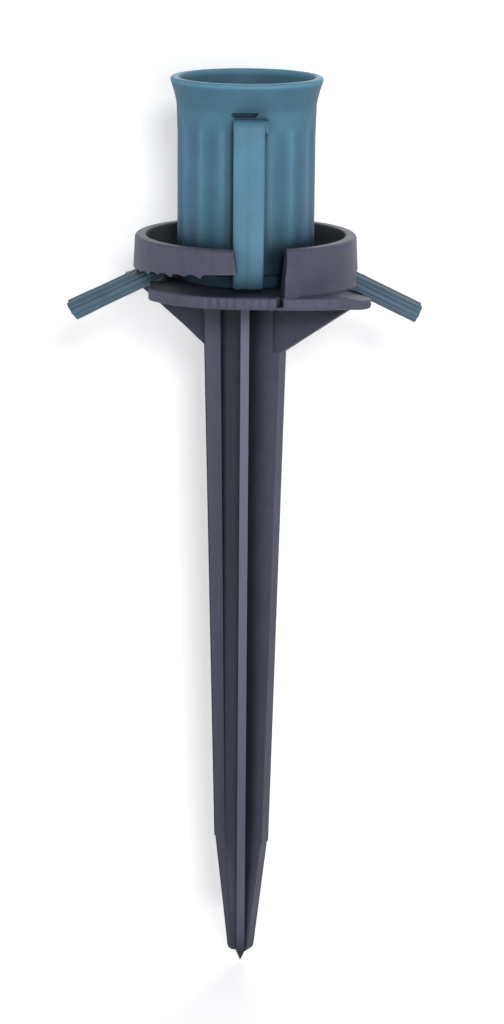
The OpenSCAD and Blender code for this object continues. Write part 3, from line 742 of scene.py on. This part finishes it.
def moulded_plastic(name, colour, cloud, highlight_tone, shade_tone, rough, grain_mm, grain_depth_mm, cloud_mm, streak, speckle):
    """Plastic with clouds of cloud_mm, streaks along Z and a grain of grain_mm; noise scale = 1 / size in metres.

    Points marked for a painted highlight are mixed towards the highlight colour. Painted shade: where the ambient
    occlusion round a point is low, or the point is marked for painted shade, it is mixed towards the shade colour.
    """
    material, tree, output = new_material(name)
    place = add(tree, "TexCoord").outputs["Object"]
    clouds = add(tree, "TexNoise", {"Vector": place}, Scale=1000 / cloud_mm, Detail=3.0, Roughness=0.55)
    tall = add(tree, "Mapping", {"Vector": place}, Scale=(1.0, 1.0, 0.06))
    streaks = add(tree, "TexNoise", {"Vector": tall.outputs["Vector"]}, Scale=1000 / STREAK_MM, Detail=2.0)
    grain = add(tree, "TexNoise", {"Vector": place}, Scale=1000 / grain_mm, Detail=2.0, Roughness=0.6)
    blend = add(tree, "Math", {0: streaks.outputs["Fac"]}, operation="MULTIPLY")
    blend.inputs[1].default_value = streak
    both = add(tree, "Math", {0: clouds.outputs["Fac"], 1: blend.outputs["Value"]}, operation="ADD")
    flecks = add(tree, "Math", {0: grain.outputs["Fac"], 2: both.outputs["Value"]}, operation="MULTIPLY_ADD")
    flecks.inputs[1].default_value = speckle
    ramp = add(tree, "ValToRGB", {"Fac": flecks.outputs["Value"]})
    middle = 0.5 + 0.5 * streak + 0.5 * speckle
    for stop, side, tone in zip(ramp.color_ramp.elements, (-CLOUD_EDGE, CLOUD_EDGE), (cloud, colour)):
        stop.position, stop.color = middle + side, linear(tone)
    # Painted highlight: marked points are mixed towards the highlight colour.
    wear_and_painted_highlight = add(tree, "Attribute", attribute_name="wear_and_painted_highlight")
    highlighted = add(tree, "Mix", {"Factor": wear_and_painted_highlight.outputs["Fac"], 6: ramp.outputs["Color"]}, data_type="RGBA")
    highlighted.inputs[7].default_value = linear(highlight_tone)
    # Painted shade from ambient occlusion and from the marks, mixed towards the shade colour.
    ao_shade = add(tree, "AmbientOcclusion", samples=8, Distance=SHADE_REACH)
    unshaded = add(tree, "MapRange", {"Value": ao_shade.outputs["AO"]}, From_Min=AO_FULL_SHADE, From_Max=AO_NO_SHADE)
    painted_shade = add(tree, "Attribute", attribute_name="painted_shade")
    links = {0: painted_shade.outputs["Fac"], 2: unshaded.outputs["Result"]}
    left = add(tree, "Math", links, operation="MULTIPLY_ADD", use_clamp=True)
    left.inputs[1].default_value = -MARKED_SHADE_WEIGHT
    shaded_colour = add(tree, "Mix", {"Factor": left.outputs["Value"], 7: highlighted.outputs[2]}, data_type="RGBA")
    shaded_colour.inputs[6].default_value = linear(shade_tone)
    from_to = {"From_Min": 0.3, "From_Max": 0.7, "To_Min": rough - 0.06, "To_Max": rough + 0.06}
    dull = add(tree, "MapRange", {"Value": clouds.outputs["Fac"]}, **from_to)
    bump = add(tree, "Bump", {"Height": grain.outputs["Fac"]}, Strength=0.55, Distance=grain_depth_mm * MM)
    links = {"Base Color": shaded_colour.outputs[2], "Roughness": dull.outputs["Result"], "Normal": bump.outputs["Normal"]}
    shader = add(tree, "BsdfPrincipled", links, IOR=1.49, Specular_IOR_Level=0.25)
    tree.links.new(shader.outputs["BSDF"], output.inputs["Surface"])
    return material


# Each plastic's fourth colour is its painted highlight tone, and its fifth its painted shade tone.
stake_plastic = moulded_plastic(
    "moulded_polypropylene_dark", "#5b5d70", "#515363", "#7a798f", "#21252e", 0.5, 0.32, 0.05, 6.0, 0.5, 0.35
)
socket_plastic = moulded_plastic(
    "moulded_matt_plastic_teal", "#5f92ac", "#557f99", "#76adca", "#16303d", 0.55, 0.3, 0.03, 5.0, 0.2, 0.25
)
wire_vinyl = moulded_plastic(
    "extruded_vinyl_teal", "#607c90", "#526b7f", "#7594a6", "#2c3c48", 0.42, 0.4, 0.02, 4.0, 0.1, 0.2
)
print("three plastics")

# %% [markdown]
# ## Painted highlights and painted shade
# The places that stand proud and face the lamps are painted a little paler, a painted highlight: the front
# and back keels of the blade, the socket's lip, the ridges between its flutes and the face of the strap. The
# flutes and the corners, gaps and hollows where shade falls are painted darker, a painted shade, and the lower
# blade is darker towards its tip. A number at each point, 0 to 1, says how much of each it gets.

# %% How much painted highlight and painted shade each point gets
def mark(name, attribute, amount):
    """Writes an attribute of a piece: amount is a function of its points' x, y, z in mm, as whole arrays."""
    mesh = PIECES[name].data
    points = np.empty(len(mesh.vertices) * 3, np.float32)
    mesh.vertices.foreach_get("co", points)
    x, y, z = points.reshape(-1, 3).T * 1000
    values = mesh.attributes.new(attribute, "FLOAT", "POINT")
    values.data.foreach_set("value", np.clip(amount(x, y, z), 0, 1).astype(np.float32))


def blade_groove(x, y, z):
    """1 in the corners where the web meets a keel or its flange, which get painted shade, else 0."""
    near_keel = (np.abs(x) < 0.7) & (np.abs(y) < 1.0)
    in_flange = (np.abs(x) > 0.7) & (np.abs(x) < 4.2) & (np.abs(y) > 0.28) & (np.abs(y) < 1.05)
    return near_keel | (in_flange & (x * y < 0) & (z > -86.2))


# Painted highlight on the front and back keels, fading towards the tip, and painted shade in the web's corners. The
# blade is also darker towards its tip.
keel_highlight = lambda z: np.interp(-z, [30, 60, 86, 104], [1.0, 0.9, 0.5, 0.3])
darker_downwards = lambda z: np.interp(-z, [20, 50, 80, 104], [0.0, 0.25, 0.5, 0.35])
mark("blade", "wear_and_painted_highlight", lambda x, y, z: keel_highlight(z) * (np.abs(y) > 1.55) * (np.abs(x) < 0.7))
mark("blade", "painted_shade", lambda x, y, z: np.maximum(darker_downwards(z), 0.95 * blade_groove(x, y, z)))
# Painted shade on both gussets, under the plate.
mark("gusset_rib_right", "painted_shade", lambda x, y, z: np.full(len(x), 0.55))
mark("gusset_rib_left", "painted_shade", lambda x, y, z: np.full(len(x), 0.65))
# Painted shade on the plate's top round the socket.
mark("plate", "painted_shade", lambda x, y, z: smooth_step((16.9 - np.hypot(x, y)) / 0.8) * (z > 1.6))
# Painted highlight on the face of the strap, strongest low down.
mark("strap", "wear_and_painted_highlight", lambda x, y, z: (0.25 + 0.6 * smooth_step((14 - z) / 9)) * (y < -12.3))
# Painted shade on the ring's inner face, below its top.
for name in ("lock_ring_right", "lock_ring_left"):
    mark(name, "painted_shade", lambda x, y, z: 0.9 * (np.hypot(x, y) < 14.75) * (z < 8.2))
print("blade, gussets, plate, ring and strap are marked")

# %% Marks on the socket
def fluted(r, z):
    """1 on the outer wall over the height of the flutes, fading out at both ends."""
    return (r > 9.9) * smooth_step((z - 5) / 2) * smooth_step((25.5 - z) / 1.5)


def socket_highlight(x, y, z):
    """Painted highlight: most on the lip, and a little on the ridges between the flutes."""
    r, off = np.hypot(x, y), from_flute(np.degrees(np.arctan2(x, -y)))
    lip = 0.7 * smooth_step((z - 30.95) / 0.15) * smooth_step((r - 9.9) / 0.15)
    return np.maximum(lip, 0.4 * fluted(r, z) * smooth_step((off - 6.5) / 2.5))


def socket_shade(x, y, z):
    """Painted shade at the foot, under the rim, in the flutes and in the mouth."""
    r, off = np.hypot(x, y), from_flute(np.degrees(np.arctan2(x, -y)))
    foot_and_rim = smooth_step((9.5 - z) / 5) + 0.3 * smooth_step((z - 26.5) / 1.5) * (z < 30.8)
    outside_shade = np.maximum(foot_and_rim, 0.25 * fluted(r, z) * smooth_step((6.0 - off) / 4.0))
    return np.where((r < 9.95) & (z > 20), 0.6, outside_shade)


mark("socket_shell", "wear_and_painted_highlight", socket_highlight)
mark("socket_shell", "painted_shade", socket_shade)
print("the socket is marked")

# %% [markdown]
# ## Brass and copper
# The contacts are stamped from rolled brass, which shows fine rolling lines, and the strands are drawn
# copper, a little oxidised. Both are metals, so all their colour is in the reflection.

# %% Metal material
TARNISH_MM, LINE_DEPTH_MM = 1.5, 0.01


def rolled_metal(name, colour, tarnish, rough, line_mm):
    """Metal with fine lines of line_mm across X and clouds of tarnish; its IOR stays at the default."""
    material, tree, output = new_material(name)
    place = add(tree, "TexCoord").outputs["Object"]
    long = add(tree, "Mapping", {"Vector": place}, Scale=(1.0, 0.05, 0.05))
    lines = add(tree, "TexNoise", {"Vector": long.outputs["Vector"]}, Scale=1000 / line_mm, Detail=2.0)
    clouds = add(tree, "TexNoise", {"Vector": place}, Scale=1000 / TARNISH_MM, Detail=3.0)
    mix = add(tree, "Mix", {"Factor": clouds.outputs["Fac"]}, data_type="RGBA")
    mix.inputs[6].default_value, mix.inputs[7].default_value = linear(colour), linear(tarnish)
    bump = add(tree, "Bump", {"Height": lines.outputs["Fac"]}, Strength=0.4, Distance=LINE_DEPTH_MM * MM)
    links = {"Base Color": mix.outputs[2], "Normal": bump.outputs["Normal"]}
    shader = add(tree, "BsdfPrincipled", links, Metallic=1.0, Roughness=rough)
    tree.links.new(shader.outputs["BSDF"], output.inputs["Surface"])
    return material


contact_brass = rolled_metal("rolled_brass", "#d9bb6c", "#b8954e", 0.3, 0.12)
copper_strand = rolled_metal("drawn_copper", "#c98a62", "#96603f", 0.4, 0.1)
print("two metals")

# %% [markdown]
# ## Put the pieces on their bodies
# The pieces in the first table ride on the CAD body they belong to and stand for that body's nodes. The
# strap and the wire pieces are left where they stand, with their place baked into their mesh, and stand for
# their nodes.

# %% Finish, body and node of each piece
FINISHES = {
    "stake_plastic": stake_plastic, "socket_plastic": socket_plastic, "wire_sheath": wire_vinyl,
    "contact_brass": contact_brass, "copper_strand": copper_strand,
}
RIDES = {
    "blade": ("stake", "stake_plastic", ["spike_blade"]),
    "gusset_rib_right": ("stake", "stake_plastic", ["gusset_right"]),
    "gusset_rib_left": ("stake", "stake_plastic", ["gusset_left"]),
    "plate": ("stake", "stake_plastic", ["base_plate"]),
    "lock_ring_right": ("stake", "stake_plastic", ["ring_wall_right", "ring_arm_right"]),
    "lock_ring_left": ("stake", "stake_plastic", ["ring_wall_left", "ring_arm_left"]),
    "socket_shell": ("socket", "socket_plastic", ["socket_body"]),
    "strap_web": ("socket", "socket_plastic", []),
    "cap": ("socket", "socket_plastic", ["socket_cap"]),
    "side_strip": ("socket", "contact_brass", ["side_contact"]),
    "leaf_spring": ("centre_leaf", "contact_brass", ["contact_leaf"]),
}
for name, (body, slot, nodes) in RIDES.items():
    piece = PIECES[name]
    piece.data.materials.append(FINISHES[slot])
    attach(piece, body)
    if nodes:
        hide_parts(*nodes)
print(len(RIDES), "pieces ride on one body")

# %% Pieces that keep their place
STRAP_BEND = (0, -0.0121, 0.0258), (0, -0.0121, 0.0236)
RIGHT_BEND = (0.009, 0, 0), (0.0122, 0, 0)
LEFT_BEND = (-0.009, 0, 0), (-0.0122, 0, 0)
BENDS = {
    "strap": ("strap", STRAP_BEND, "socket_plastic", ["strap_clip"]),
    "wire_right": ("wire_end_right", RIGHT_BEND, "wire_sheath", ["wire_sheath_right", "wire_sheath_middle"]),
    "wire_left": ("wire_end_left", LEFT_BEND, "wire_sheath", ["wire_sheath_left"]),
    "copper_right": ("wire_end_right", RIGHT_BEND, "copper_strand", ["cores_right", "cores_middle"]),
    "copper_left": ("wire_end_left", LEFT_BEND, "copper_strand", ["cores_left"]),
}
for name, (body, (start, end), slot, nodes) in BENDS.items():
    piece = PIECES[name]
    piece.data.materials.append(FINISHES[slot])
    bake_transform(piece)
    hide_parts(*nodes)
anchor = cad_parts["contact_anchor"]
anchor.data.materials.clear()
anchor.data.materials.append(contact_brass)
print(len(BENDS), "pieces bend")

# %% [markdown]
# ## The studio
# The photograph shows a white ground with a faint soft shadow close behind the object, to its left. A pale
# sheet sweeps from a floor up behind the object. It glows a little, so it reads as white and still darkens
# where the object shades it. The floor glows more than the upright part, because the low lamps only graze
# it. Only the camera and reflections see the sheet, and its back is clear, so it hides nothing from behind.

# %% Sweep sheet
FLOOR_Z = TIP_Z * MM - 0.0002
FLOOR_END, WALL_Y, WALL_TOP, SHEET_HALF, BEND_R = -1.1, 0.032, 0.9, 0.95, 0.010
bend = np.linspace(0, np.pi / 2, 9)
sheet_y = np.concatenate([[FLOOR_END], WALL_Y - BEND_R + BEND_R * np.sin(bend), [WALL_Y]])
sheet_z = np.concatenate([[FLOOR_Z], FLOOR_Z + BEND_R - BEND_R * np.cos(bend), [WALL_TOP]])
sheet_x = np.array([-SHEET_HALF, SHEET_HALF])
sheet = np.stack(np.broadcast_arrays(sheet_x, sheet_y[:, None], sheet_z[:, None]), -1)
sweep_mesh = bpy.data.meshes.new("sweep")
sweep_mesh.from_pydata(sheet.reshape(-1, 3).tolist(), [], grid_faces(*sheet.shape[:2]))
sweep_mesh.shade_smooth()
sweep = bpy.data.objects.new("sweep", sweep_mesh)
bpy.context.scene.collection.objects.link(sweep)
print("sweep normal", tuple(round(v, 2) for v in sweep_mesh.polygons[0].normal))

# %% Sweep material
WALL_GLOW, FLOOR_GLOW = 0.46, 0.62


def seen_ray(tree):
    """1 for rays from the camera, from a reflection or through glass, else 0, so that soft light passes by."""
    ray = add(tree, "LightPath")
    kinds = {0: ray.outputs["Is Camera Ray"], 1: ray.outputs["Is Glossy Ray"]}
    either = add(tree, "Math", kinds, operation="ADD", use_clamp=True)
    kinds = {0: either.outputs["Value"], 1: ray.outputs["Is Transmission Ray"]}
    return add(tree, "Math", kinds, operation="ADD", use_clamp=True).outputs["Value"]


paper, tree, output = new_material("matt_paper_sweep")
surface = add(tree, "NewGeometry")
diffuse = add(tree, "BsdfDiffuse", Color=linear("#f2f2f4"))
upward = add(tree, "SeparateXYZ", {"Vector": surface.outputs["Normal"]})
strength = add(tree, "MapRange", {"Value": upward.outputs["Z"]}, To_Min=WALL_GLOW, To_Max=FLOOR_GLOW)
glow = add(tree, "Emission", {"Strength": strength.outputs["Result"]}, Color=(1, 1, 1, 1))
lit = add(tree, "AddShader", {0: diffuse.outputs["BSDF"], 1: glow.outputs["Emission"]})
clear = add(tree, "BsdfTransparent")
front = add(tree, "Math", {1: surface.outputs["Backfacing"]}, operation="SUBTRACT")
front.inputs[0].default_value = 1.0
shown = add(tree, "Math", {0: front.outputs["Value"], 1: seen_ray(tree)}, operation="MULTIPLY")
sheet_mix = add(tree, "MixShader", {0: shown.outputs["Value"], 1: clear.outputs["BSDF"], 2: lit.outputs["Shader"]})
tree.links.new(sheet_mix.outputs["Shader"], output.inputs["Surface"])
sweep_mesh.materials.append(paper)
print("sweep material ready")

# %% [markdown]
# ## The lights
# All lamps stand 1.5 m from the object and are placed by their direction. Two small soft lamps near the
# camera, a little to its right, throw the soft shadow down to the left. Wide ones light the sides and, from
# below, the undersides, and two behind keep the back readable. The world adds a little even light, and is
# white where the camera or a reflection sees it.

# %% Lamps and world
LAMP_AWAY, AIMED_AT = 1.5, Vector((0, 0, -0.03))
EVEN_LIGHT, SEEN_WHITE = 0.03, 1.0


def soft_lamp(name, azimuth, elevation, size, power, colour="#ffffff"):
    """A square lamp of size metres and power watts: azimuth in degrees from the front, elevation above level."""
    lamp = bpy.data.lights.new(name, "AREA")
    lamp.size, lamp.energy, lamp.color = size, power, linear(colour)[:3]
    holder = bpy.data.objects.new(name, lamp)
    e = math.radians(elevation)
    way = Vector(polar(azimuth, math.cos(e), math.sin(e)))
    holder.location = AIMED_AT + way * LAMP_AWAY
    holder.rotation_mode = "QUATERNION"
    holder.rotation_quaternion = (-way).to_track_quat("-Z", "Y")
    bpy.context.scene.collection.objects.link(holder)


soft_lamp("key", 7, 20, 0.22, 7.2)
soft_lamp("low_front", 8, 5, 0.32, 4.0)
soft_lamp("right", 55, 3, 0.9, 3.6)
soft_lamp("left", -45, 3, 0.9, 1.4)
soft_lamp("left_rim", -95, 10, 0.9, 6.5, "#dbe7f3")
soft_lamp("bounce", 0, -50, 0.9, 5.2)
soft_lamp("right_rim", 110, 10, 0.9, 3.0, "#dbe7f3")
soft_lamp("back", 170, 20, 0.9, 14.0)
world = bpy.data.worlds.new("even_studio")
world.use_nodes = True
bpy.context.scene.world = world
tree = world.node_tree
tree.nodes.clear()
level = add(tree, "MapRange", {"Value": seen_ray(tree)}, To_Min=EVEN_LIGHT, To_Max=SEEN_WHITE)
sky = add(tree, "Background", {"Strength": level.outputs["Result"]}, Color=(1, 1, 1, 1))
tree.links.new(sky.outputs["Background"], add(tree, "OutputWorld").inputs["Surface"])
bpy.context.scene.view_settings.view_transform = "Standard"
